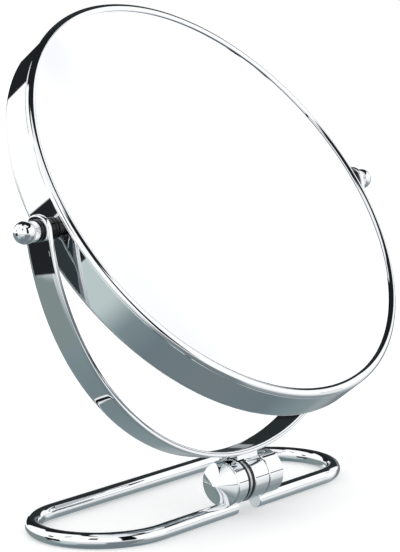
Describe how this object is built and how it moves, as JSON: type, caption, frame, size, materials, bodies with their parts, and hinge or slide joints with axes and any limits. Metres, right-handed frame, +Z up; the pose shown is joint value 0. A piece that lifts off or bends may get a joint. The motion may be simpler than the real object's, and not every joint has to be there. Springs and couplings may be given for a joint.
{
  "type": "makeup mirror",
  "caption": "Tabletop makeup mirror: round chrome frame, magnifying face in front and plain face behind, tilting in a curved yoke that folds down onto a bent-rod base.",
  "frame": {"origin": "on the table, straight below the middle of the pivot axis", "axes": "+Z up, +X along the pivot axis to the right of a person who faces the magnifying side, +Y to the back"},
  "size_m": [0.2396, 0.132, 0.2182],
  "materials": {
    "chrome": "polished",
    "silvered_glass": "polished, silvered on the back",
    "black_nylon": "satin",
    "steel": "zinc plated",
    "carrier_plastic": "moulded",
    "cushion": "soft foam strip",
    "millboard": "plain"
  },
  "bodies": {
    "base": {"base_rod": "chrome", "hinge_knuckle_left": "chrome", "hinge_knuckle_right": "chrome", "hinge_cap": "chrome", "hinge_plug": "chrome", "hinge_pin": "steel", "hinge_nut": "steel", "hinge_disc_springs": "steel", "hinge_thrust_washer": "steel", "friction_washer_thin": "black_nylon", "friction_disc": "steel", "bearing_washer": "steel"},
    "yoke": {"yoke": "chrome", "yoke_knuckle": "chrome", "friction_washer_thick": "black_nylon", "pivot_inner_washer_right": "black_nylon", "pivot_inner_washer_left": "black_nylon", "pivot_outer_washer_right": "black_nylon", "pivot_outer_washer_left": "black_nylon"},
    "mirror": {"rim_band": "chrome", "bezel_front": "chrome", "bezel_rear": "chrome", "glass_magnifying": "silvered_glass", "glass_plain": "silvered_glass", "carrier_ring": "carrier_plastic", "cushion_ring": "cushion", "backing_board": "millboard", "pivot_insert_right": "steel", "pivot_insert_left": "steel", "pivot_bush_right": "black_nylon", "pivot_bush_left": "black_nylon", "pivot_rim_washer_right": "black_nylon", "pivot_rim_washer_left": "black_nylon"},
    "knob_right": {"pivot_knob_right": "chrome"},
    "knob_left": {"pivot_knob_left": "chrome"}
  },
  "joints": [
    {"name": "yoke_fold", "type": "hinge", "parent": "base", "child": "yoke", "pos_m": [0, -0.01455, 0.01445], "axis": [-1, 0, 0], "range_deg": [-7, 81]},
    {"name": "mirror_tilt", "type": "hinge", "parent": "yoke", "child": "mirror", "pos_m": [0, 0, 0.13296], "axis": [1, 0, 0], "continuous": true},
    {"name": "knob_right_turn", "type": "hinge", "parent": "mirror", "child": "knob_right", "pos_m": [0.1, 0, 0.13296], "axis": [1, 0, 0], "range_deg": [0, 180]},
    {"name": "knob_left_turn", "type": "hinge", "parent": "mirror", "child": "knob_left", "pos_m": [-0.1, 0, 0.13296], "axis": [-1, 0, 0], "range_deg": [0, 180]}
  ]
}
